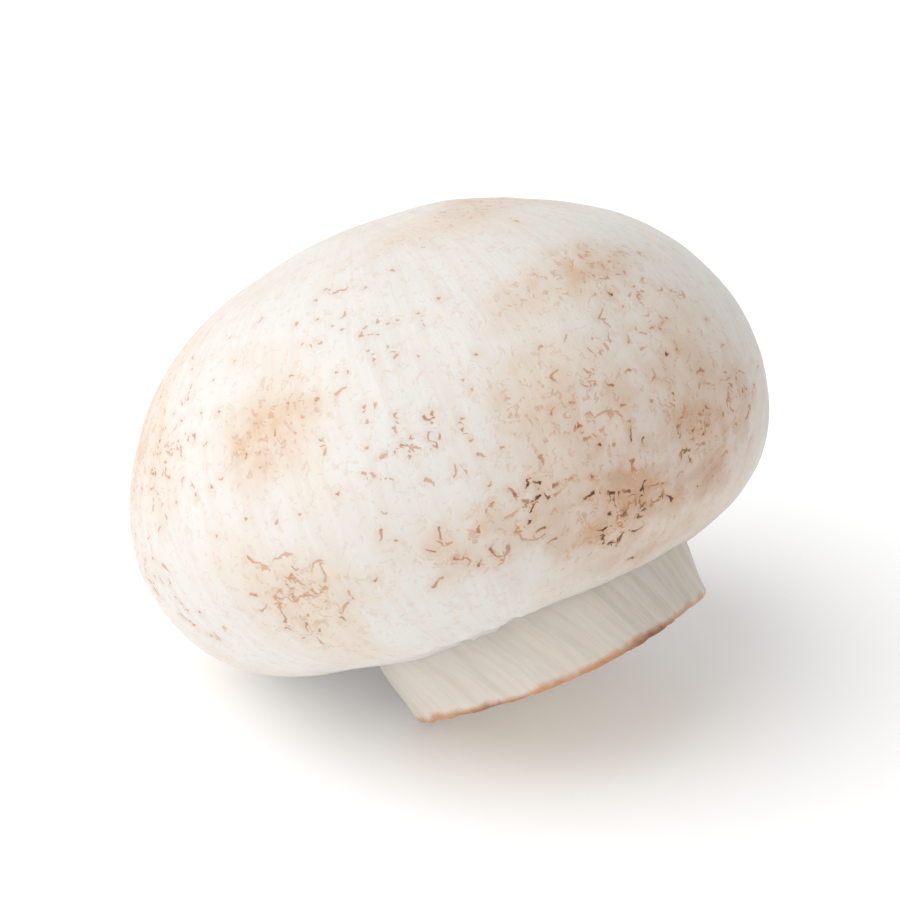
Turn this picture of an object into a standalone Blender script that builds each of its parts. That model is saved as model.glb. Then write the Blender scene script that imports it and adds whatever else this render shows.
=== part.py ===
"""Button mushroom, picked: a closed cap on its short cut stem, tipped over to rest on the cap and the stem's edge.

Both pieces are modelled upright in the mushroom's own frame: the stem's axis is +Z, the middle of the cut is the
origin, +X is the mushroom's right and -Y its near side. An empty then leans that frame into the resting pose.
"""

import math

import bmesh
import bpy
from mathutils import Matrix, Vector

MM = 0.001

# Cap
CAP_RADIUS = 27.7 * MM
CAP_DOME = 21.0 * MM  # widest ring to crown
CAP_UNDER = 14.2 * MM  # widest ring to the bottom of the underside
UNDER_POWER = 3.6  # how squarely the underside turns in towards the stem
CAP_RING_HEIGHT = 18.95 * MM  # cut to widest ring
CAP_SHIFT = -1.8 * MM  # the cap sits a little to the left of the stem
CAP_SHIFT_BACK = 1.0 * MM
CAP_TIP = 4.2  # degrees that the cap is bent back to the right on the stem
CAP_LOBE = 0.013  # share of the radius by which the outline is three-sided
CAP_COLOUR = (0.85, 0.78, 0.68, 1.0)

# Stem
CUT_RADIUS = 13.3 * MM
NECK_RADIUS = 13.85 * MM
NECK_HEIGHT = 5.3 * MM  # cut to where the cap closes round the stem
NECK_SHIFT = -0.4 * MM
STEM_TOP = 14.0 * MM  # cut to the top of the stem, inside the cap
STEM_LOBE = 0.012
CUT_EDGE_ROUND = 0.5 * MM
STEM_COLOUR = (0.80, 0.75, 0.67, 1.0)

# How the margin and the cut sag at the near side
NEAR_HEADING = -90.0
NEAR_WIDTH = 62.0
NEAR_CUT_DROP = 2.3 * MM
NEAR_MARGIN_DROP = 2.1 * MM

# Resting pose
LEAN_LEFT = 24.0
LEAN_BACK = 30.5
PRESSED_FLAT = 0.3 * MM  # depth of the flats where the flesh bears on the table

SEAT_GAP = 0.3 * MM  # clearance between stem and cap
SEGMENTS = 60
DOME_RINGS = 14
UNDER_RINGS = 12
ROUGHNESS = 0.6
TABLE_SIZE = 120 * MM


def clear_scene():
    """Empty the scene of objects."""
    for thing in list(bpy.data.objects):
        bpy.data.objects.remove(thing, do_unlink=True)


def flesh(name, colour):
    """Matt, non-metallic mushroom flesh."""
    material = bpy.data.materials.new(name)
    material.use_nodes = True
    shader = material.node_tree.nodes["Principled BSDF"]
    shader.inputs["Base Color"].default_value = colour
    shader.inputs["Roughness"].default_value = ROUGHNESS
    shader.inputs["Metallic"].default_value = 0.0
    return material


def nearness(azimuth):
    """1 on the near side, falling smoothly to 0 about two widths away from it."""
    turn = azimuth - math.radians(NEAR_HEADING)
    offset = math.degrees(math.atan2(math.sin(turn), math.cos(turn)))
    return math.exp(-((offset / NEAR_WIDTH) ** 2))


def ring(point_at):
    """One closed ring of points, from a function of the azimuth."""
    return [point_at(2 * math.pi * step / SEGMENTS) for step in range(SEGMENTS)]


def skinned_solid(name, first_pole, rings, last_pole, material=None):
    """A closed solid skinned over rings of points, capped by a point at each end; rings run top to bottom."""
    bm = bmesh.new()
    top = bm.verts.new(first_pole)
    loops = [[bm.verts.new(point) for point in points] for points in rings]
    bottom = bm.verts.new(last_pole)
    for step in range(SEGMENTS):
        after = (step + 1) % SEGMENTS
        bm.faces.new((top, loops[0][step], loops[0][after]))
        for upper, lower in zip(loops, loops[1:]):
            bm.faces.new((upper[step], lower[step], lower[after], upper[after]))
        bm.faces.new((bottom, loops[-1][after], loops[-1][step]))
    mesh = bpy.data.meshes.new(name)
    bm.to_mesh(mesh)
    bm.free()
    mesh.shade_smooth()
    mesh.set_sharp_from_angle(angle=math.radians(40))
    solid = bpy.data.objects.new(name, mesh)
    bpy.context.collection.objects.link(solid)
    if material:
        mesh.materials.append(material)
    return solid


def cap_outline():
    """Radius and height about the widest ring, from just below the crown to just short of the underside's middle."""
    quarter = math.pi / 2
    outline = []
    for step in range(1, DOME_RINGS + 1):
        angle = quarter * step / DOME_RINGS
        outline.append((CAP_RADIUS * math.sin(angle), CAP_DOME * math.cos(angle)))
    for step in range(1, UNDER_RINGS):
        angle = quarter * step / UNDER_RINGS
        outline.append((CAP_RADIUS * math.cos(angle) ** (2 / UNDER_POWER), -CAP_UNDER * math.sin(angle)))
    return outline


def cap_point(radius, height, azimuth):
    """A point of the cap's skin: a turned outline, slightly three-sided, sagging at the near side."""
    reach = radius * (1 + CAP_LOBE * math.cos(3 * azimuth))
    depth = max(0.0, -height / CAP_UNDER)
    drop = NEAR_MARGIN_DROP * nearness(azimuth)
    turned = Vector((reach * math.cos(azimuth), reach * math.sin(azimuth), height - drop * depth))
    place = Matrix.Translation((CAP_SHIFT, CAP_SHIFT_BACK, CAP_RING_HEIGHT))
    return place @ Matrix.Rotation(math.radians(CAP_TIP), 4, "Y") @ turned


def make_cap():
    """The whole cap, before the stem's seat is cut out of its underside."""
    rings = [ring(lambda azimuth: cap_point(radius, height, azimuth)) for radius, height in cap_outline()]
    crown = cap_point(0.0, CAP_DOME, 0.0)
    middle = cap_point(0.0, -CAP_UNDER, 0.0)
    return skinned_solid("cap", crown, rings, middle, flesh("cap_skin", CAP_COLOUR))


def stem_point(radius, height, azimuth, grow):
    """A point of the stem's side or top, slightly five-sided, bent a little to the left as it rises."""
    bend = NECK_SHIFT * max(0.0, height) / NECK_HEIGHT
    reach = radius * (1 + STEM_LOBE * math.cos(5 * azimuth)) + grow
    return Vector((bend + reach * math.cos(azimuth), reach * math.sin(azimuth), height))


def upper_stem_rings(grow):
    """The stem from its domed top, seated in the cap, down to the neck; grow adds the seat's clearance."""
    outline = [
        (0.45 * NECK_RADIUS, STEM_TOP - 0.3 * MM),
        (0.75 * NECK_RADIUS, STEM_TOP - 1.2 * MM),
        (0.92 * NECK_RADIUS, STEM_TOP - 3.0 * MM),
        (NECK_RADIUS, STEM_TOP - 6.0 * MM),
        (NECK_RADIUS, NECK_HEIGHT),
    ]
    return [ring(lambda azimuth: stem_point(radius, height + grow, azimuth, grow)) for radius, height in outline]


def cut_point(share, lift, azimuth):
    """A point of the cut: share of the way out to the edge, on a face that drops towards the near side."""
    drop = NEAR_CUT_DROP * nearness(azimuth) * share ** 2
    return stem_point(share * CUT_RADIUS, 0.0, azimuth, 0.0) + Vector((0.0, 0.0, lift - drop))


def make_stem():
    """The cut stem, from its domed top inside the cap to the cut face."""
    rings = upper_stem_rings(0.0)
    rings.append(ring(lambda azimuth: cut_point(1.01, 2.5 * MM, azimuth)))
    rings.append(ring(lambda azimuth: cut_point(1.0, CUT_EDGE_ROUND, azimuth)))
    rings.append(ring(lambda azimuth: cut_point(1.0 - CUT_EDGE_ROUND / CUT_RADIUS, 0.0, azimuth)))
    rings.append(ring(lambda azimuth: cut_point(0.6, 0.0, azimuth)))
    top = stem_point(0.0, STEM_TOP, 0.0, 0.0)
    return skinned_solid("stem", top, rings, Vector(), flesh("stem_flesh", STEM_COLOUR))


def make_seat_cutter():
    """The stem's upper end grown by the clearance, reaching down past the cap's margin."""
    rings = upper_stem_rings(SEAT_GAP)
    rings.append(ring(lambda azimuth: stem_point(NECK_RADIUS, -CUT_RADIUS, azimuth, SEAT_GAP)))
    top = stem_point(0.0, STEM_TOP + SEAT_GAP, 0.0, 0.0)
    return skinned_solid("seat_cutter", top, rings, Vector((0.0, 0.0, -CUT_RADIUS)))


def make_table_cutter():
    """A block whose top is the table that the mushroom lies on."""
    bm = bmesh.new()
    bmesh.ops.create_cube(bm, size=TABLE_SIZE)
    bmesh.ops.translate(bm, verts=bm.verts, vec=(0.0, 0.0, -TABLE_SIZE / 2))
    mesh = bpy.data.meshes.new("table_cutter")
    bm.to_mesh(mesh)
    bm.free()
    table = bpy.data.objects.new("table_cutter", mesh)
    bpy.context.collection.objects.link(table)
    return table


def cut_away(solid, cutter):
    """Take the cutter's shape out of the solid, and keep the cutter out of the model."""
    cut = solid.modifiers.new(cutter.name, "BOOLEAN")
    cut.operation = "DIFFERENCE"
    cut.solver = "EXACT"
    cut.object = cutter
    cutter.hide_render = True
    cutter.display_type = "WIRE"


def lean_frame(pieces):
    """An empty that leans the pieces over and centres them on the origin, pressed slightly into the table."""
    lean = Matrix.Rotation(math.radians(-LEAN_BACK), 4, "X") @ Matrix.Rotation(math.radians(-LEAN_LEFT), 4, "Y")
    frame = bpy.data.objects.new("mushroom_frame", None)
    bpy.context.collection.objects.link(frame)
    points = [lean @ vertex.co for piece in pieces for vertex in piece.data.vertices]
    low = Vector(map(min, zip(*points)))
    high = Vector(map(max, zip(*points)))
    middle = (low + high) / 2
    frame.matrix_world = Matrix.Translation((-middle.x, -middle.y, -low.z - PRESSED_FLAT)) @ lean
    return frame


def main():
    """Build the mushroom."""
    clear_scene()
    cap = make_cap()
    stem = make_stem()
    seat = make_seat_cutter()
    table = make_table_cutter()
    frame = lean_frame((cap, stem))
    for piece in (cap, stem, seat):
        piece.parent = frame
    cut_away(cap, seat)
    cut_away(cap, table)
    cut_away(stem, table)


main()
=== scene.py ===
"""Visual model of a picked button mushroom: a closed cap with browned scaly flecks on a short cut stem."""

import math

import bpy
import numpy as np
from mathutils import Matrix, Vector


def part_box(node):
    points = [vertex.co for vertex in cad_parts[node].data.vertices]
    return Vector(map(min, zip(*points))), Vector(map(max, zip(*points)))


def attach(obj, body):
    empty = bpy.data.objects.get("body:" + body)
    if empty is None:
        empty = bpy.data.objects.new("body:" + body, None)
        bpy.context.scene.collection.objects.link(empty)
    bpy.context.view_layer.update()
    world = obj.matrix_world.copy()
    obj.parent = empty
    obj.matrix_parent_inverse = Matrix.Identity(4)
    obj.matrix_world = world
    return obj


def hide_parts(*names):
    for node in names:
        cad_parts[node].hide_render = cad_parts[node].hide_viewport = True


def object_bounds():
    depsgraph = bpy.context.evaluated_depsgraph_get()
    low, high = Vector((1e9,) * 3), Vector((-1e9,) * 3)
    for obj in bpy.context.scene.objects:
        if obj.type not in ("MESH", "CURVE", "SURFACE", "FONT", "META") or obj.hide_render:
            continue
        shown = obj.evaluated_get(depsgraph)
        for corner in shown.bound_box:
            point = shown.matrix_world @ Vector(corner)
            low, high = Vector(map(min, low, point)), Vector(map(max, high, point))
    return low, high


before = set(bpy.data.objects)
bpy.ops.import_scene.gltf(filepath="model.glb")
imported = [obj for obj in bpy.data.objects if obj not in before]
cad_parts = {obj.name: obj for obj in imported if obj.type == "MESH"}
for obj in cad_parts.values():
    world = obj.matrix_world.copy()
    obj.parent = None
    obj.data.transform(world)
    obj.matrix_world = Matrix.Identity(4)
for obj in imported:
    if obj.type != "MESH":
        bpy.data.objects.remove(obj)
CAD_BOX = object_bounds()

MM = 0.001
TURN = 2 * math.pi

# The mushroom's own frame: the stem's axis is +Z, the middle of the cut is the origin, -Y is the near side.
# Sizes are in millimetres and angles in degrees.
LEAN_LEFT = 24.0
LEAN_BACK = 30.5

CAP_RADIUS = 27.7
CAP_DOME = 21.0
CAP_UNDER = 14.2
UNDER_POWER = 3.6
CAP_PLACE = (-1.8, 1.0, 18.95)
CAP_TIP = 4.2
CAP_LOBE = 0.013
MARGIN_TUCK = 1.0  # how far inside the neck's radius the cap's outline ends

CUT_RADIUS = 13.3
NECK_RADIUS = 13.85
NECK_HEIGHT = 5.3
NECK_SHIFT = -0.4
STEM_LOBE = 0.012
NEAR_WIDTH = 62.0
NEAR_CUT_DROP = 2.3
NEAR_MARGIN_DROP = 2.1

CAP_SEGMENTS = 540
CAP_RINGS = 172
OUTLINE_STEPS = 2000
STEM_SEGMENTS = 480
STEM_SIDE_RINGS = 46
CUT_FACE_RINGS = 52

HASH_FACTORS = (73856093, 19349663, 83492791)
HASH_SEED_FACTOR = 2654435761
HASH_STIR = 0x45D9F3B
LOW_32_BITS = 0xFFFFFFFF
CELL_OFFSET = 4096  # keeps the cells' numbers above zero


# ---------------------------------------------------------------- noise and small helpers

def hashed(cells, seed):
    """A repeatable number from 0 to 1 for each whole-numbered cell."""
    x, y, z = (cells[..., axis].astype(np.uint64) * np.uint64(HASH_FACTORS[axis]) for axis in range(3))
    mixed = (x ^ y ^ z ^ np.uint64(seed * HASH_SEED_FACTOR)) & np.uint64(LOW_32_BITS)
    for shift in (16, 15):
        mixed = ((mixed ^ (mixed >> np.uint64(shift))) * np.uint64(HASH_STIR)) & np.uint64(LOW_32_BITS)
    mixed = mixed ^ (mixed >> np.uint64(16))
    return mixed.astype(float) / LOW_32_BITS


def value_noise(points, seed):
    """Smooth noise from -1 to 1 whose bumps are about one unit across."""
    base = np.floor(points)
    part = points - base
    part = part * part * part * (part * (part * 6 - 15) + 10)
    cell = (base + CELL_OFFSET).astype(np.int64)
    total = np.zeros(points.shape[:-1])
    for corner in np.ndindex(2, 2, 2):
        share = np.prod(np.where(np.array(corner) == 1, part, 1 - part), axis=-1)
        total += share * hashed(cell + np.array(corner), seed)
    return total * 2 - 1


def fractal(points, seed, octaves):
    """Several octaves of noise, each twice as fine and half as strong."""
    total = np.zeros(points.shape[:-1])
    for octave in range(octaves):
        total += value_noise(points * 2 ** octave, seed + octave) / 2 ** octave
    return total


def smooth(low, high, value):
    """0 below low and 1 above high, easing between; low may be the larger."""
    share = np.clip((value - low) / (high - low), 0, 1)
    return share * share * (3 - 2 * share)


def angle_gap(azimuth, heading):
    """How far an azimuth is from a heading in degrees, both ways up to 180; the result is in degrees."""
    turn = azimuth - math.radians(heading)
    return np.degrees(np.arctan2(np.sin(turn), np.cos(turn)))


def nearness(azimuth):
    """1 on the near side, falling smoothly to 0 about two widths away from it."""
    return np.exp(-((angle_gap(azimuth, -90) / NEAR_WIDTH) ** 2))


def grid_normals(points):
    """Outward normals of a grid of rings by segments, closed round its segments."""
    along = np.gradient(points, axis=0)
    wrapped = np.concatenate([points[:, -1:], points, points[:, :1]], axis=1)
    around = (wrapped[:, 2:] - wrapped[:, :-2]) / 2
    normals = np.cross(along, around)
    return normals / np.maximum(np.linalg.norm(normals, axis=-1, keepdims=True), 1e-9)


def lathe_mesh(name, rings, first_pole, last_pole, marks):
    """A closed mesh over a grid of rings, top to bottom, in millimetres, with named values at its points."""
    count, segments = rings.shape[:2]
    points = np.concatenate([[first_pole], rings.reshape(-1, 3), [last_pole]])
    index = 1 + np.arange(count * segments).reshape(count, segments)
    after = np.roll(index, -1, axis=1)
    quads = np.stack([index[:-1], index[1:], after[1:], after[:-1]], axis=-1).reshape(-1, 4)
    top = np.stack([np.zeros(segments, int), index[0], after[0]], axis=-1)
    bottom = np.stack([np.full(segments, len(points) - 1), after[-1], index[-1]], axis=-1)
    mesh = bpy.data.meshes.new(name)
    mesh.from_pydata((points * MM).tolist(), [], top.tolist() + quads.tolist() + bottom.tolist())
    mesh.validate()
    mesh.shade_smooth()
    for mark, values in marks.items():
        poles = values[0].mean(axis=0)[None], values[-1].mean(axis=0)[None]
        flat = np.concatenate([poles[0], values.reshape(-1, *values.shape[2:]), poles[1]]).astype(np.float32)
        kind, key = ("FLOAT_VECTOR", "vector") if flat.ndim == 2 else ("FLOAT", "value")
        mesh.attributes.new(mark, kind, "POINT").data.foreach_set(key, flat.reshape(-1))
    piece = bpy.data.objects.new(name, mesh)
    bpy.context.collection.objects.link(piece)
    return piece


# ---------------------------------------------------------------- where the mushroom lies

def tilt(degrees, axis):
    """A rotation matrix for numpy rows of points."""
    return np.array(Matrix.Rotation(math.radians(degrees), 3, axis)).T


LEAN = tilt(-LEAN_LEFT, "Y") @ tilt(-LEAN_BACK, "X")


def cap_surface(radius, height, azimuth):
    """Points of the plain cap: a turned outline, slightly three-sided, sagging at the near side."""
    reach = radius * (1 + CAP_LOBE * np.cos(3 * azimuth))
    drop = NEAR_MARGIN_DROP * nearness(azimuth) * np.clip(-height / CAP_UNDER, 0, None)
    turned = np.stack([reach * np.cos(azimuth), reach * np.sin(azimuth), height - drop], axis=-1)
    return turned @ tilt(CAP_TIP, "Y") + np.array(CAP_PLACE)


def resting_place(points):
    """Where the mushroom's own origin stands, in millimetres, for the plain cap to fill the CAD cap's box."""
    low, high = (np.array(corner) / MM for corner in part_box("cap"))
    leaned = points.reshape(-1, 3) @ LEAN
    middle = (leaned.min(axis=0) + leaned.max(axis=0)) / 2
    return np.array([*((low + high) / 2 - middle)[:2], high[2] - leaned[:, 2].max()])


def to_world(points, place):
    """Lean the points over and set them on the table, flattened where they bear on it."""
    world = points @ LEAN + place
    world[..., 2] = np.maximum(world[..., 2], 0.0)
    return world


# ---------------------------------------------------------------- cap

def cap_outline(rings):
    """Radius, height, distance from the crown and polar angle at evenly spaced rings, crown to stem."""
    angle = np.linspace(0, math.pi / 2, OUTLINE_STEPS)
    dome = np.stack([CAP_RADIUS * np.sin(angle), CAP_DOME * np.cos(angle), np.degrees(angle)], axis=-1)
    inward = CAP_RADIUS * np.cos(angle) ** (2 / UNDER_POWER)
    under = np.stack([inward, -CAP_UNDER * np.sin(angle), 90 + np.degrees(angle)], axis=-1)
    outline = np.concatenate([dome, under[1:]])
    outline = outline[(outline[:, 1] > 0) | (outline[:, 0] > NECK_RADIUS - MARGIN_TUCK)]
    steps = np.linalg.norm(np.diff(outline[:, :2], axis=0), axis=-1)
    length = np.concatenate([[0], np.cumsum(steps)])
    stops = np.linspace(length[-1] / rings, length[-1], rings)
    radius, height, polar = (np.interp(stops, length, outline[:, axis]) for axis in range(3))
    return radius, height, stops, polar


# Patches of flecks: azimuth, polar angle (0 crown, 90 widest ring), reach, how many, length, darkness
FLECK_PATCHES = (
    ("browned patch", -62, 127, 4.2, 51, 0.9, 0.95),
    ("beside the browned patch", -78, 113, 2.6, 15, 1.0, 0.90),
    ("above the browned patch", -64, 96, 4.2, 39, 0.9, 0.65),
    ("cracks", -57, 79, 3.4, 20, 0.9, 0.30),
    ("right", -46, 114, 5.0, 31, 0.7, 0.55),
    ("right rim", -29, 104, 5.0, 27, 0.8, 0.55),
    ("lower middle", -92, 120, 4.0, 24, 1.2, 0.50),
    ("lower left", -128, 116, 5.5, 51, 0.8, 0.42),
    ("middle", -96, 86, 9.0, 60, 0.5, 0.40),
    ("upper middle", -100, 58, 11.0, 50, 0.4, 0.30),
    ("upper right", -45, 72, 8.0, 51, 0.5, 0.35),
    ("left", -150, 66, 11.0, 86, 0.4, 0.38),
    ("left rim", -168, 96, 7.0, 51, 0.6, 0.45),
    ("crown", 40, 18, 13.0, 78, 0.4, 0.30),
    ("back right", 28, 102, 8.0, 66, 0.8, 0.60),
    ("back right margin", 55, 124, 5.0, 43, 0.9, 0.85),
    ("back", 98, 92, 12.0, 117, 0.6, 0.45),
    ("back margin", 118, 122, 6.0, 47, 0.9, 0.70),
    ("back left", 158, 106, 8.0, 66, 0.8, 0.50),
    ("grains of soil", -40, 104, 12.0, 12, 0.3, 1.0),
    ("back top", 90, 55, 14.0, 98, 0.5, 0.35),
)

# Soft patches of colour: azimuth, polar angle, reach round the cap, reach down it, strength
PEACH_PATCHES = (
    (-122, 72, 4.6, 3.4, 0.85),
    (-52, 60, 7.5, 2.2, 0.80),
    (-76, 88, 3.6, 4.0, 0.60),
    (-64, 98, 6.0, 4.0, 0.60),
    (-62, 124, 6.5, 4.5, 0.95),
    (-40, 104, 8.0, 7.0, 0.60),
    (-93, 120, 4.2, 3.2, 0.60),
    (-130, 118, 6.0, 3.0, 0.35),
    (-172, 62, 5.0, 7.0, 0.60),
    (-35, 28, 8.0, 5.0, 0.50),
    (20, 66, 10.0, 4.0, 0.60),
    (55, 120, 9.0, 4.5, 0.90),
    (92, 84, 8.0, 6.0, 0.55),
    (120, 122, 8.0, 4.0, 0.80),
    (155, 100, 7.0, 6.0, 0.60),
    (110, 40, 9.0, 5.0, 0.45),
)
# Tan stains, and painted shade that darkens the lower right of the cap and its margin: same columns as above
STAIN_AND_SHADE_PATCHES = (
    (-40, 128, 6.5, 2.8, 1.00),
    (-60, 127, 5.5, 4.0, 0.85),
    (-74, 118, 4.0, 3.5, 0.50),
    (-22, 112, 7.0, 5.0, 0.40),
    (-36, 116, 12.0, 8.0, 0.62),
    (-64, 124, 8.0, 6.0, 0.66),
    (-52, 146, 8.0, 3.0, 0.60),
    (62, 128, 6.0, 1.8, 0.70),
    (122, 127, 6.0, 1.8, 0.60),
)

PATCH_WARP_SIZE = 2.6
PATCH_WARP_REACH = 1.3

FLECK_SEED = 7
FLECK_SPREAD = 0.62  # share of a patch's reach within which most of its flecks lie
FLECK_CROWN_GAP = 1.5  # how near to the crown's middle and to the margin the flecks may lie
FLECK_MARGIN_GAP = 4.6
FLECK_SHORTEST = 0.3
FLECK_ROOM = 0.42  # least distance between two flecks, to which a share of their lengths is added
FLECK_ROOM_SHARE = 0.20
FLECK_THIN = 0.065  # half the width of the palest fleck, and what full darkness adds to it
FLECK_THICKER = 0.06
FAR_FROM_FLECKS = 3.0  # the distance given to points that are near no fleck
OFF_THE_FLECK = 9.0  # the place along and across a fleck given to such points


class Skin:
    """The plain cap's surface, with the directions round and down it at every point."""

    def __init__(self, points, azimuth, polar, distance):
        self.points = points
        self.azimuth = azimuth
        self.polar = polar
        self.distance = distance
        self.normals = grid_normals(points)
        around = np.cross([0, 0, 1.0], self.normals)
        self.around = around / np.maximum(np.linalg.norm(around, axis=-1, keepdims=True), 1e-9)
        self.down = np.cross(self.around, self.normals)
        self.down *= np.sign((self.down * np.gradient(points, axis=0)).sum(axis=-1, keepdims=True))

    def seat(self, heading, polar):
        """The grid place of an azimuth and polar angle in degrees."""
        ring = np.abs(self.polar - polar).argmin()
        column = int(round((heading % 360) / 360 * len(self.azimuth))) % len(self.azimuth)
        return ring, column


def soft_patches(skin, patches):
    """A value from 0 to 1 that rises in each of the patches, with uneven edges."""
    warp = np.stack([value_noise(skin.points / PATCH_WARP_SIZE, seed) for seed in (81, 82, 83)], axis=-1)
    points = skin.points + PATCH_WARP_REACH * warp
    total = np.zeros(skin.points.shape[:2])
    for heading, polar, reach_round, reach_down, strength in patches:
        seat = skin.seat(heading, polar)
        offset = points - skin.points[seat]
        turned = (offset @ skin.around[seat] / reach_round) ** 2
        lowered = (offset @ skin.down[seat] / reach_down) ** 2
        lifted = (offset @ skin.normals[seat] / (reach_round + reach_down)) ** 2
        total = np.maximum(total, strength * np.exp(-(turned + lowered + lifted)))
    return total


def crowded(centre, size, flecks):
    """Whether a fleck of this size would lie too close to one of the others."""
    for other in flecks:
        room = FLECK_ROOM + FLECK_ROOM_SHARE * (size + other["length"])
        if np.linalg.norm(centre - other["centre"]) < room:
            return True
    return False


def scatter_flecks(skin, rng):
    """Seeded short curved flecks lying on the skin, kept apart from each other."""
    flecks = []
    segments = len(skin.azimuth)
    for _, heading, polar, reach, count, length, dark in FLECK_PATCHES:
        home = skin.seat(heading, polar)
        girth = max(5.0, np.linalg.norm(skin.points[home][:2] - np.array(CAP_PLACE[:2])))
        for _ in range(count):
            away = reach * abs(rng.normal(0, FLECK_SPREAD))
            turn = rng.uniform(0, TURN)
            stop = skin.distance[home[0]] + away * math.cos(turn)
            stop = np.clip(stop, FLECK_CROWN_GAP, skin.distance[-1] - FLECK_MARGIN_GAP)
            ring = np.abs(skin.distance - stop).argmin()
            column = int(home[1] + away * math.sin(turn) / girth / TURN * segments) % segments
            seat = ring, column
            size = length * rng.lognormal(-0.1, 0.5)
            lean = rng.normal(0, 1.0)
            curve = rng.normal(0, 0.6)
            thickness = rng.uniform(0.7, 1.3)
            shade = rng.uniform(0.3, 1.1)
            head = rng.choice((-1, 1))
            centre = skin.points[seat]
            if crowded(centre, size, flecks):
                continue
            direction = head * (math.cos(lean) * skin.around[seat] + math.sin(lean) * skin.down[seat])
            flecks.append(dict(
                centre=centre,
                direction=direction,
                side=np.cross(skin.normals[seat], direction),
                length=max(size, FLECK_SHORTEST),
                curve=curve / max(size, 0.8),
                half=(FLECK_THIN + FLECK_THICKER * dark) * thickness,
                dark=np.clip(dark * shade, 0, 1),
            ))
    return flecks


def fleck_fields(skin, flecks):
    """For each point: signed places along and across its nearest fleck, its distance, and its darkness."""
    points = skin.points.reshape(-1, 3)
    along_fleck = np.full(len(points), OFF_THE_FLECK)
    across_fleck = np.full(len(points), OFF_THE_FLECK)
    distance = np.full(len(points), FAR_FROM_FLECKS)
    dark = np.zeros(len(points))
    for fleck in flecks:
        offset = points - fleck["centre"]
        close = np.flatnonzero((offset ** 2).sum(axis=-1) < (fleck["length"] / 2 + FAR_FROM_FLECKS) ** 2)
        along = offset[close] @ fleck["direction"]
        side = offset[close] @ fleck["side"] - fleck["curve"] * along ** 2
        past = np.maximum(np.abs(along) - fleck["length"] / 2, 0)
        gap = np.hypot(side, past)
        nearer = gap < distance[close]
        chosen = close[nearer]
        distance[chosen] = gap[nearer]
        along_fleck[chosen] = (along / (fleck["length"] / 2))[nearer]
        across_fleck[chosen] = (side / fleck["half"])[nearer]
        dark[chosen] = fleck["dark"]
    shape = skin.points.shape[:2]
    return [field.reshape(shape) for field in (along_fleck, across_fleck, distance, dark)]


# Relief of the cap's skin: heights and, where a pattern repeats, its size
LUMPS = (0.36, 15)
SMALL_LUMPS = (0.09, 5.5)
FLAKES = (0.05, 1.5)
FINE_LUMPS = (0.012, 0.9)
VALLEY_HEADING = -84
VALLEY_WIDTH = 11  # degrees
VALLEY_DEPTH = 0.30
SKIN_ENDS = 2.2  # from the margin to where the scaly skin begins, and to where it is at its full strength
SKIN_FULL = 5.0

# The torn hem of the veil along the near margin
HEM_HEADING = -96
HEM_WIDTH = 24  # degrees
HEM_PLACE = 3.9  # from the margin
HEM_WAVE = 0.2
HEM_WAVES = 31
HEM_RIDGE = 0.30
HEM_STEP = 0.55


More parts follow.
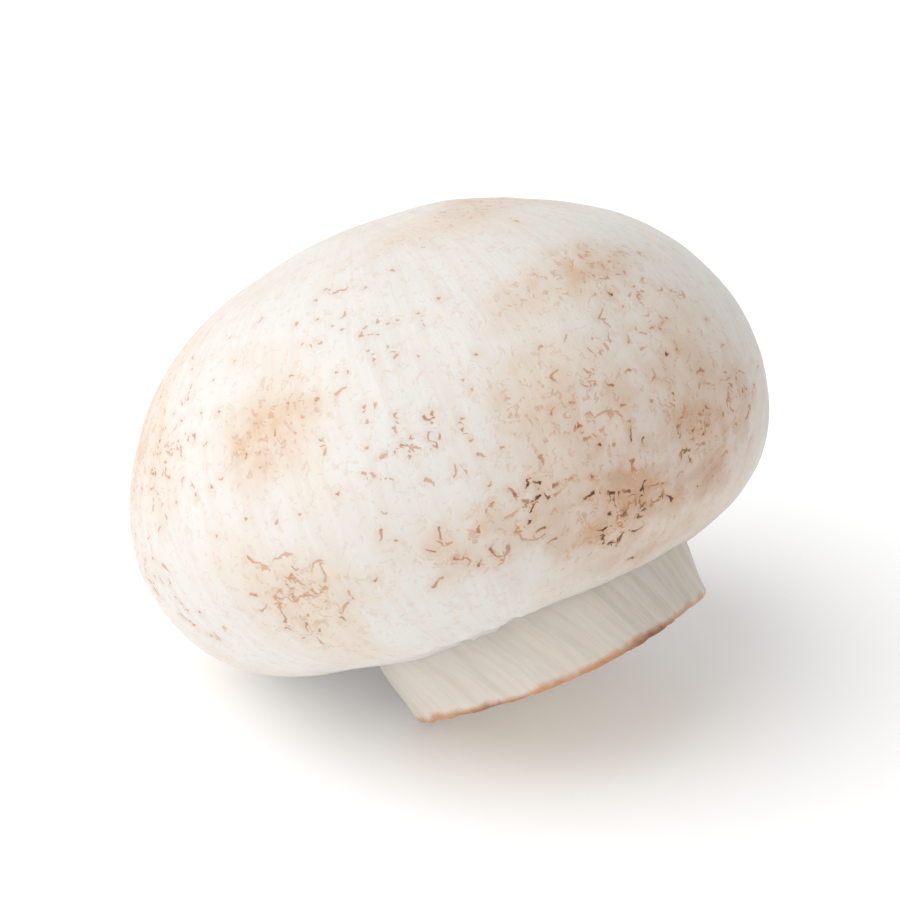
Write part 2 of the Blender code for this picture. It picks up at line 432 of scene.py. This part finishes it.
def make_cap():
    """The cap's skin with its lumps, valleys, flecks, scaly flakes and rolled margin."""
    radius, height, distance, polar = cap_outline(CAP_RINGS)
    azimuth = np.arange(CAP_SEGMENTS) * TURN / CAP_SEGMENTS
    turn, reach = np.meshgrid(azimuth, radius)
    _, rise = np.meshgrid(azimuth, height)
    _, run = np.meshgrid(azimuth, distance)
    skin = Skin(cap_surface(reach, rise, turn), azimuth, polar, distance)
    plain = skin.points
    place = resting_place(plain)

    to_margin = distance[-1] - run
    skin_share = smooth(SKIN_ENDS, SKIN_FULL, to_margin)
    peach = soft_patches(skin, PEACH_PATCHES)
    # Tan stains, partly painted shade on the cap's lower right
    tan_stain_and_shade = soft_patches(skin, STAIN_AND_SHADE_PATCHES)
    flecks = scatter_flecks(skin, np.random.default_rng(FLECK_SEED))
    along, across, gap, dark = fleck_fields(skin, flecks)

    lumps = LUMPS[0] * fractal(plain / LUMPS[1], 11, 2)
    small = SMALL_LUMPS[0] * fractal(plain / SMALL_LUMPS[1], 23, 2) * (0.3 + 0.7 * skin_share)
    wander = angle_gap(turn, VALLEY_HEADING) - 6 * np.sin(run / 6)
    valley = np.exp(-(wander / VALLEY_WIDTH) ** 2) * smooth(14, 26, run) * smooth(6, 12, to_margin)
    flakes = np.abs(fractal(plain / FLAKES[1], 31, 2)) * smooth(0.25, 0.8, peach + tan_stain_and_shade) * skin_share
    fine = FINE_LUMPS[0] * fractal(plain / FINE_LUMPS[1], 37, 2) * skin_share
    groove = np.exp(-(gap / 0.3) ** 2) * (0.02 + 0.06 * dark)
    lip = np.exp(-((gap - 0.55) / 0.3) ** 2) * (0.01 + 0.035 * dark)
    tatters = 0.7 + 0.5 * value_noise(plain / 0.8, 41)
    torn = np.exp(-((angle_gap(turn, HEM_HEADING) / HEM_WIDTH) ** 4)) * tatters
    hem = to_margin - HEM_PLACE - HEM_WAVE * np.sin(turn * HEM_WAVES)
    veil = torn * (HEM_RIDGE * np.exp(-((hem - 0.3) / 0.5) ** 2) - HEM_STEP * smooth(0.1, -0.5, hem))
    # Painted shade: a darker line along the crease under the veil's torn hem
    crease_shade_share = torn * np.exp(-((hem + 0.4) / 0.35) ** 2)
    relief = lumps + small - VALLEY_DEPTH * valley + FLAKES[0] * flakes + fine + lip - groove + veil

    points = plain + skin.normals * relief[..., None]
    close = cap_closing(points[-1])
    fields = {
        "fleck_along": (along, OFF_THE_FLECK),
        "fleck_across": (across, OFF_THE_FLECK),
        "fleck_gap": (gap, FAR_FROM_FLECKS),
        "fleck_dark": (dark, 0),
        "peach": (peach, 0),
        "tan_stain_and_shade": (tan_stain_and_shade, 0),
        "crease_shade_share": (crease_shade_share, 0),
        "to_margin": (to_margin, 0),
    }
    marks = {}
    for name, (field, inside) in fields.items():
        marks[name] = np.concatenate([field, np.full(close.shape[:2], float(inside))])
    strand = np.stack([CAP_RADIUS * np.cos(turn), CAP_RADIUS * np.sin(turn), 0.10 * run], axis=-1)
    marks["strand_place"] = np.concatenate([strand, np.repeat(strand[-1:], len(close), axis=0)]) * MM
    rings = np.concatenate([points, close])
    piece = lathe_mesh("mushroom_cap", rings, points[0].mean(axis=0), close[-1].mean(axis=0), marks)
    return piece, place


# Rings inside the stem that close the cap: share of the margin's reach, and lift above it
CLOSING_RINGS = ((0.93, 1.6), (0.7, 3.2), (0.35, 3.8))


def cap_closing(margin):
    """Rings that turn the margin in and up inside the stem, so that the cap is one closed body."""
    centre = margin.mean(axis=0)
    rings = []
    for share, lift in CLOSING_RINGS:
        rings.append(centre + (margin - centre) * share + np.array([0, 0, lift]))
    return np.array(rings)


# ---------------------------------------------------------------- stem

# Browned stretches of the cut edge: azimuth and width in degrees
BRUISES = ((-56, 13), (-125, 8), (35, 16), (150, 12))
STEM_TOP = 9.5  # cut to where the side ends, inside the cap
FIBRE_SLANT = 0.035  # radians that the fibres turn in a millimetre of height
FRAYING = 0.10
FIBRE_RELIEF = 0.03
BROAD_RELIEF = 0.10
EDGE_ROUNDING = 0.30
FACE_RELIEF = 0.10
FACE_SINK = 0.12


def make_stem():
    """The stem with its slanting fibres, the frayed edge of the cut and the cut face."""
    azimuth = np.arange(STEM_SEGMENTS) * TURN / STEM_SEGMENTS
    lift = np.linspace(1, 0, STEM_SIDE_RINGS) ** 1.3  # rings closer together near the cut
    ring = np.stack([np.cos(azimuth), np.sin(azimuth)], axis=-1)
    near = nearness(azimuth)
    frayed = FRAYING * fractal(np.concatenate([ring * 9, 0 * ring[:, :1]], axis=-1), 51, 3)
    cut_height = -NEAR_CUT_DROP * near + frayed

    rings, above, face, strands = [], [], [], []
    lobe = 1 + STEM_LOBE * np.cos(5 * azimuth)
    for share in lift:
        z = cut_height * (1 - share) + STEM_TOP * share
        rise = np.maximum(z, 0)
        reach = (CUT_RADIUS + (NECK_RADIUS - CUT_RADIUS) * smooth(0, NECK_HEIGHT, z)) * lobe
        slant = azimuth + FIBRE_SLANT * z
        fibre = np.stack([np.cos(slant) * 26, np.sin(slant) * 26, z * 0.22], axis=-1)
        coarse = np.stack([np.cos(slant) * 8, np.sin(slant) * 8, z * 0.15], axis=-1)
        reach = reach + FIBRE_RELIEF * fractal(fibre, 61, 2) + BROAD_RELIEF * fractal(coarse, 67, 2)
        reach = reach - EDGE_ROUNDING * np.exp(-((z - cut_height) / 0.22))
        bend = NECK_SHIFT * rise / NECK_HEIGHT
        rings.append(np.stack([bend + reach * np.cos(azimuth), reach * np.sin(azimuth), z], axis=-1))
        above.append(z - cut_height)
        face.append(np.zeros_like(azimuth))
        wound = [NECK_RADIUS * np.cos(slant), NECK_RADIUS * np.sin(slant), 0.12 * z]
        strands.append(np.stack(wound, axis=-1))
    edge = rings[-1]
    for step in range(1, CUT_FACE_RINGS + 1):
        share = 1 - step / (CUT_FACE_RINGS + 1)
        points = edge * np.array([share, share, 0])
        grain = np.stack([points[:, 0] / 1.3, points[:, 1] / 1.3, 0 * azimuth], axis=-1)
        z = cut_height * share ** 2
        z = z + FACE_RELIEF * fractal(grain, 71, 3) * smooth(1, 0.9, share)
        z = z + FACE_SINK * smooth(1, 0.93, share)
        points[:, 2] = z
        rings.append(points)
        above.append(-(1 - share) * CUT_RADIUS + 0 * azimuth)
        face.append(np.ones_like(azimuth))
        strands.append(points)
    rings = np.array(rings)
    bruise = sum(np.exp(-((angle_gap(azimuth, heading) / width) ** 2)) for heading, width in BRUISES)
    marks = {
        "above_cut": np.array(above),
        "cut_face": np.array(face),
        "bruise": np.tile(bruise, (len(rings), 1)),
        "strand_place": np.array(strands) * MM,
    }
    return lathe_mesh("mushroom_stem", rings, rings[0].mean(axis=0), rings[-1].mean(axis=0), marks)


# ---------------------------------------------------------------- materials

PATTERN_SHIFT = (0.37, 0.61, 0.23)  # metres: far enough for the pattern to be a different one


class Tree:
    """A small writer of shader nodes."""

    def __init__(self, name):
        self.material = bpy.data.materials.new(name)
        self.material.use_nodes = True
        self.nodes = self.material.node_tree.nodes
        self.links = self.material.node_tree.links
        self.shader = self.nodes["Principled BSDF"]

    def add(self, kind, inputs=None, **settings):
        """Add a node, set its properties, and fill its inputs with links or values."""
        node = self.nodes.new(kind)
        for key, value in settings.items():
            setattr(node, key, value)
        for key, value in (inputs or {}).items():
            self.fill(node.inputs[key], value)
        return node

    def fill(self, socket, value):
        """Link an output to the socket, or set its value."""
        if isinstance(value, bpy.types.NodeSocket):
            self.links.new(value, socket)
        else:
            socket.default_value = value

    def math(self, operation, first, second=0.0):
        """One arithmetic step."""
        return self.add("ShaderNodeMath", {0: first, 1: second}, operation=operation).outputs[0]

    def mark(self, name):
        """A value stored at the mesh's points."""
        return self.add("ShaderNodeAttribute", attribute_name=name).outputs["Fac"]

    def shifted(self, place):
        """Another part of the same space, for a pattern unlike the first."""
        return self.add("ShaderNodeVectorMath", {0: place, 1: PATTERN_SHIFT}, operation="ADD").outputs[0]

    def step(self, value, low, high, to_low=0.0, to_high=1.0):
        """Ease from one value to another as the input passes from low to high."""
        inputs = {"Value": value, "From Min": low, "From Max": high, "To Min": to_low, "To Max": to_high}
        return self.add("ShaderNodeMapRange", inputs, interpolation_type="SMOOTHSTEP").outputs[0]

    def noise(self, coords, scale, detail, distortion=0.0):
        """Fractal noise from 0 to 1, of so many cycles per metre."""
        inputs = {"Vector": coords, "Scale": scale, "Detail": detail, "Distortion": distortion}
        return self.add("ShaderNodeTexNoise", inputs).outputs[0]

    def blend(self, share, first, second):
        """Mix two colours."""
        node = self.add("ShaderNodeMix", data_type="RGBA")
        self.fill(node.inputs[0], share)
        self.fill(node.inputs[6], first)
        self.fill(node.inputs[7], second)
        return node.outputs[2]

    def place(self, name):
        """A position stored at the mesh's points, in metres."""
        return self.add("ShaderNodeAttribute", attribute_name=name).outputs["Vector"]

    def times(self, *factors):
        """The product of several values."""
        product = factors[0]
        for factor in factors[1:]:
            product = self.math("MULTIPLY", product, factor)
        return product


def colour(red, green, blue):
    """A colour given as the eye's 0 to 255 values."""
    linear = [((v / 255 + 0.055) / 1.055) ** 2.4 if v > 10 else v / 255 / 12.92 for v in (red, green, blue)]
    return (*linear, 1.0)


CREAM = colour(223, 220, 215)
CLOUDED = colour(221, 206, 188)
STRAND = colour(210, 185, 160)
PEACH = colour(208, 171, 136)
# Tan of the stains, also used as painted shade on the lower right
TAN_AND_SHADE = colour(189, 154, 129)
FINE_FLECK = colour(194, 140, 98)
FLECK_HALO = colour(207, 164, 127)
FLECK_PALE = colour(196, 134, 86)
FLECK_BROWN = colour(84, 50, 34)
MARGIN_COOL = colour(206, 205, 202)
MARGIN_WARM = colour(213, 209, 204)
# Tan on the margin: partly stain, partly painted shade at the right
MARGIN_TAN_AND_SHADE = colour(191, 166, 147)
# Colour of the painted shade in the crease under the torn hem
PAINTED_CREASE_SHADE = colour(170, 148, 130)
STEM_PALE = colour(213, 205, 196)
STEM_FIBRE = colour(200, 190, 178)
STEM_YELLOWED = colour(214, 201, 181)
CUT_PALE = colour(220, 209, 193)
CUT_YELLOWED = colour(205, 183, 158)
EDGE_BROWN = colour(187, 129, 81)
EDGE_BURNT = colour(118, 71, 41)


def fleck_line(tree, here):
    """1 on the flecks drawn at the mesh's points: curved, thick at the head, thin at the tail, ragged."""
    along = tree.mark("fleck_along")
    ragged = tree.times(tree.math("SUBTRACT", tree.noise(here, 5500.0, 2.0), 0.5), 1.6)
    bend = tree.times(tree.math("SUBTRACT", tree.noise(here, 1500.0, 1.0), 0.5), 6.5)
    width = tree.math("ADD", 0.90, tree.times(along, 0.50))
    across = tree.math("ABSOLUTE", tree.math("ADD", tree.mark("fleck_across"), bend))
    inside = tree.math("SUBTRACT", across, width)
    line = tree.step(tree.math("ADD", inside, ragged), 0.75, -0.55)
    ends = tree.step(tree.math("ABSOLUTE", along), 1.08, 0.80)
    near = tree.step(tree.mark("fleck_gap"), 0.46, 0.34)
    return tree.times(line, ends, near)


def fine_flecks(tree, here, cover):
    """Tiny broken curved flecks that crowd where the cover is high."""
    wandering = tree.noise(here, 1050.0, 2.0, 0.9)
    contour = tree.step(tree.math("ABSOLUTE", tree.math("SUBTRACT", wandering, 0.5)), 0.064, 0.006)
    broken = tree.step(tree.noise(tree.shifted(here), 1300.0, 1.0), 0.50, 0.60)
    return tree.times(contour, broken, cover)


def cap_material():
    """Creamy skin with peach blotches, fine strands, browned flecks, tan stains with painted shade on the
    lower right, painted shade in the crease under the torn hem, and a smooth pale margin.
    """
    tree = Tree("cap_skin")
    here = tree.place("own_place")
    strand_place = tree.place("strand_place")
    peach, tan_stain_and_shade = tree.mark("peach"), tree.mark("tan_stain_and_shade")
    dark = tree.mark("fleck_dark")

    cloudy = tree.step(tree.noise(here, 95.0, 4.0, 0.5), 0.42, 0.70)
    mottled = tree.step(tree.noise(here, 330.0, 4.0, 0.4), 0.35, 0.68)
    strands = tree.step(tree.noise(strand_place, 1000.0, 4.0, 0.5), 0.40, 0.74)
    base = tree.blend(tree.times(cloudy, 0.60), CREAM, CLOUDED)
    base = tree.blend(tree.times(strands, 0.18), base, STRAND)
    warm = tree.times(peach, tree.step(mottled, 0.0, 1.0, 0.45, 1.0))
    base = tree.blend(warm, base, PEACH)
    # Tan stains, and painted shade on the lower right of the cap
    stain_and_shade_share = tree.times(tan_stain_and_shade, tree.step(mottled, 0.0, 1.0, 0.55, 0.95))
    base = tree.blend(stain_and_shade_share, base, TAN_AND_SHADE)

    cover = tree.step(tree.math("ADD", peach, tree.times(cloudy, 0.25)), 0.05, 0.75, 0.30, 1.0)
    fine = fine_flecks(tree, here, cover)
    base = tree.blend(tree.times(fine, 0.55), base, FINE_FLECK)
    halo = tree.times(tree.step(tree.mark("fleck_gap"), 1.0, 0.0), dark, 0.50)
    base = tree.blend(halo, base, FLECK_HALO)
    line = fleck_line(tree, here)
    headed = tree.math("ADD", dark, tree.times(tree.mark("fleck_along"), 0.22))
    browned = tree.blend(tree.step(headed, 0.25, 1.10), FLECK_PALE, FLECK_BROWN)
    base = tree.blend(tree.times(line, tree.step(dark, 0.0, 0.8, 0.55, 1.0)), base, browned)

    ragged_edge = tree.times(tree.math("SUBTRACT", tree.noise(here, 480.0, 3.0), 0.5), 2.4)
    on_skin = tree.step(tree.math("ADD", tree.mark("to_margin"), ragged_edge), 2.7, 4.1)
    warmed = tree.step(tree.noise(here, 260.0, 3.0), 0.3, 0.7)
    margin = tree.blend(warmed, MARGIN_COOL, MARGIN_WARM)
    # Tan on the margin: partly stain, partly painted shade at the right
    margin = tree.blend(tree.times(tan_stain_and_shade, 0.9), margin, MARGIN_TAN_AND_SHADE)
    # Painted shade darkens the crease under the torn hem
    margin = tree.blend(tree.times(tree.mark("crease_shade_share"), 0.6), margin, PAINTED_CREASE_SHADE)
    tree.fill(tree.shader.inputs["Base Color"], tree.blend(on_skin, margin, base))

    rough = tree.step(tree.noise(here, 600.0, 4.0), 0.3, 0.7, 0.50, 0.68)
    tree.fill(tree.shader.inputs["Roughness"], rough)
    grain = tree.math("ADD", tree.times(tree.noise(strand_place, 1700.0, 5.0, 0.6), 0.7),
                      tree.times(tree.noise(here, 3800.0, 3.0), 0.3))
    relief = tree.math("SUBTRACT", grain, tree.times(tree.math("ADD", line, tree.times(fine, 0.5)), 0.9))
    bump = tree.add("ShaderNodeBump", {"Height": relief, "Strength": 0.45, "Distance": 0.00013})
    tree.fill(tree.shader.inputs["Normal"], bump.outputs[0])
    soft_flesh(tree.shader)
    return tree.material


def soft_flesh(shader):
    """The soft, faintly velvety depth that all of the flesh shares."""
    shader.inputs["Subsurface Weight"].default_value = 0.25
    shader.inputs["Subsurface Radius"].default_value = (1.0, 0.7, 0.45)
    shader.inputs["Subsurface Scale"].default_value = 0.0012
    shader.inputs["Sheen Weight"].default_value = 0.10
    shader.inputs["Sheen Roughness"].default_value = 0.5
    shader.inputs["Specular IOR Level"].default_value = 0.35


def stem_material():
    """Pale fibrous stem, browned along the edge of the cut, with a pale oxidised cut face."""
    tree = Tree("stem_flesh")
    here = tree.place("own_place")
    strand_place = tree.place("strand_place")
    from_edge = tree.math("ABSOLUTE", tree.mark("above_cut"))
    strands = tree.step(tree.noise(strand_place, 1300.0, 4.0, 0.5), 0.36, 0.70)
    broad = tree.step(tree.noise(strand_place, 420.0, 3.0, 0.3), 0.38, 0.66)
    side = tree.blend(tree.times(strands, 0.6), STEM_PALE, STEM_FIBRE)
    side = tree.blend(tree.times(broad, 0.28), side, STEM_YELLOWED)
    pith = tree.step(tree.noise(here, 320.0, 5.0, 0.5), 0.35, 0.70)
    flesh = tree.blend(pith, CUT_PALE, CUT_YELLOWED)
    base = tree.blend(tree.mark("cut_face"), side, flesh)
    uneven = tree.times(tree.math("SUBTRACT", tree.noise(here, 420.0, 4.0), 0.5), 1.5)
    reach = tree.math("ADD", from_edge, uneven)
    base = tree.blend(tree.times(tree.step(reach, 0.85, 0.05), 0.9), base, EDGE_BROWN)
    patchy = tree.step(tree.noise(here, 140.0, 2.0), 0.47, 0.60)
    bruised = tree.math("MAXIMUM", tree.times(patchy, 0.6), tree.mark("bruise"))
    burnt = tree.times(tree.step(reach, 0.70, -0.1), bruised)
    base = tree.blend(burnt, base, EDGE_BURNT)
    tree.fill(tree.shader.inputs["Base Color"], base)
    tree.fill(tree.shader.inputs["Roughness"], tree.step(strands, 0.0, 1.0, 0.52, 0.68))
    bump = tree.add("ShaderNodeBump", {"Height": strands, "Strength": 0.3, "Distance": 0.00006})
    tree.fill(tree.shader.inputs["Normal"], bump.outputs[0])
    soft_flesh(tree.shader)
    return tree.material


# ---------------------------------------------------------------- stage, lights and camera

VIEW_ELEVATION = 27.5
VIEW_AZIMUTH = -2.4
VIEW_ROLL = 0.9
CAMERA_DISTANCE = 0.776
LENS = 370.0
KEY_AZIMUTH = -66
KEY_ELEVATION = 56
KEY_STRENGTH = 1.70
KEY_SPREAD = 70
AMBIENT_LEFT = 0.98  # strength of the fill that comes from the far left, and from the far right
AMBIENT_RIGHT = 0.26
HORIZON_BAND = 0.10  # sine of the elevation up to which the backdrop is white
TABLE_REACH = 6.0  # metres
TABLE_GLOW = 0.13  # the table glows a little, which keeps its shadows pale


def make_stage():
    """A plain white table top."""
    tree = Tree("table_white")
    here = tree.add("ShaderNodeTexCoord").outputs["Object"]
    mottle = tree.step(tree.noise(here, 3.0, 2.0), 0.2, 0.8, 0.93, 0.95)
    grey = tree.add("ShaderNodeCombineColor", {0: mottle, 1: mottle, 2: mottle})
    tree.fill(tree.shader.inputs["Base Color"], grey.outputs[0])
    tree.shader.inputs["Roughness"].default_value = 0.9
    tree.shader.inputs["Specular IOR Level"].default_value = 0.1
    tree.shader.inputs["Emission Color"].default_value = (0.97, 0.98, 1.0, 1.0)
    tree.shader.inputs["Emission Strength"].default_value = TABLE_GLOW
    mesh = bpy.data.meshes.new("table_top")
    corners = [(x * TABLE_REACH, y * TABLE_REACH, 0) for x, y in ((-1, -1), (1, -1), (1, 1), (-1, 1))]
    mesh.from_pydata(corners, [], [(0, 1, 2, 3)])
    mesh.materials.append(tree.material)
    table = bpy.data.objects.new("table_top", mesh)
    bpy.context.collection.objects.link(table)


def compass(azimuth, elevation, distance):
    """A point round the origin; azimuth 0 is the near side, 90 the right."""
    az, el = math.radians(azimuth), math.radians(elevation)
    return Vector((math.sin(az) * math.cos(el), -math.cos(az) * math.cos(el), math.sin(el))) * distance


def distant_softbox(name, azimuth, elevation, strength, spread):
    """A broad, far light that falls alike on the whole table; spread is the angle that it fills."""
    data = bpy.data.lights.new(name, "SUN")
    data.energy = strength
    data.angle = math.radians(spread)
    light = bpy.data.objects.new(name, data)
    bpy.context.collection.objects.link(light)
    light.rotation_euler = (-compass(azimuth, elevation, 1)).to_track_quat("-Z", "Y").to_euler()


def light_scene():
    """A studio with a white backdrop round the horizon, dimmer fill above it, and a soft key at the left."""
    world = bpy.data.worlds.new("studio")
    world.use_nodes = True
    nodes, links = world.node_tree.nodes, world.node_tree.links
    direction = nodes.new("ShaderNodeTexCoord")
    split = nodes.new("ShaderNodeSeparateXYZ")
    links.new(direction.outputs["Generated"], split.inputs[0])
    fall = nodes.new("ShaderNodeMapRange")
    fall.interpolation_type = "SMOOTHSTEP"
    fall.inputs["From Min"].default_value = HORIZON_BAND
    fall.inputs["From Max"].default_value = 3 * HORIZON_BAND
    fall.inputs["To Min"].default_value = 1.0
    side = nodes.new("ShaderNodeMapRange")
    side.inputs["From Min"].default_value = -1.0
    side.inputs["From Max"].default_value = 1.0
    side.inputs["To Min"].default_value = AMBIENT_LEFT
    side.inputs["To Max"].default_value = AMBIENT_RIGHT
    links.new(split.outputs["X"], side.inputs["Value"])
    links.new(side.outputs[0], fall.inputs["To Max"])
    links.new(split.outputs["Z"], fall.inputs["Value"])
    links.new(fall.outputs[0], nodes["Background"].inputs["Strength"])
    nodes["Background"].inputs["Color"].default_value = (1.0, 1.0, 1.0, 1.0)
    bpy.context.scene.world = world
    distant_softbox("key_softbox", KEY_AZIMUTH, KEY_ELEVATION, KEY_STRENGTH, KEY_SPREAD)
    bpy.context.scene.view_settings.view_transform = "Standard"


def place_camera():
    """The photograph's viewing direction, aimed at the middle of the mushroom."""
    low, high = (Vector(corner) for corner in CAD_BOX)
    target = (low + high) / 2
    data = bpy.data.cameras.new("camera")
    data.lens = LENS
    data.sensor_width = 36.0
    data.clip_end = 20.0
    camera = bpy.data.objects.new("camera", data)
    bpy.context.collection.objects.link(camera)
    camera.location = target + compass(VIEW_AZIMUTH, VIEW_ELEVATION, CAMERA_DISTANCE)
    aim = (target - camera.location).to_track_quat("-Z", "Y").to_matrix()
    camera.rotation_euler = (aim @ Matrix.Rotation(math.radians(VIEW_ROLL), 3, "Z")).to_euler()
    bpy.context.scene.camera = camera


# ---------------------------------------------------------------- assembly

def settle(piece, place):
    """Lean a piece into its resting pose, flattened where it bears on the table, and store its own places."""
    own = np.empty(len(piece.data.vertices) * 3)
    piece.data.vertices.foreach_get("co", own)
    layer = piece.data.attributes.new("own_place", "FLOAT_VECTOR", "POINT")
    layer.data.foreach_set("vector", own.astype(np.float32))
    world = to_world(own.reshape(-1, 3) / MM, place)
    piece.data.vertices.foreach_set("co", (world * MM).reshape(-1))
    piece.data.update()


cap, place = make_cap()
stem = make_stem()
for piece, material, node, slot in (
    (cap, cap_material(), "cap", "cap_skin"),
    (stem, stem_material(), "stem", "stem_flesh"),
):
    settle(piece, place)
    piece.data.materials.append(material)
    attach(piece, "root")
    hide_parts(node)

make_stage()
light_scene()
place_camera()
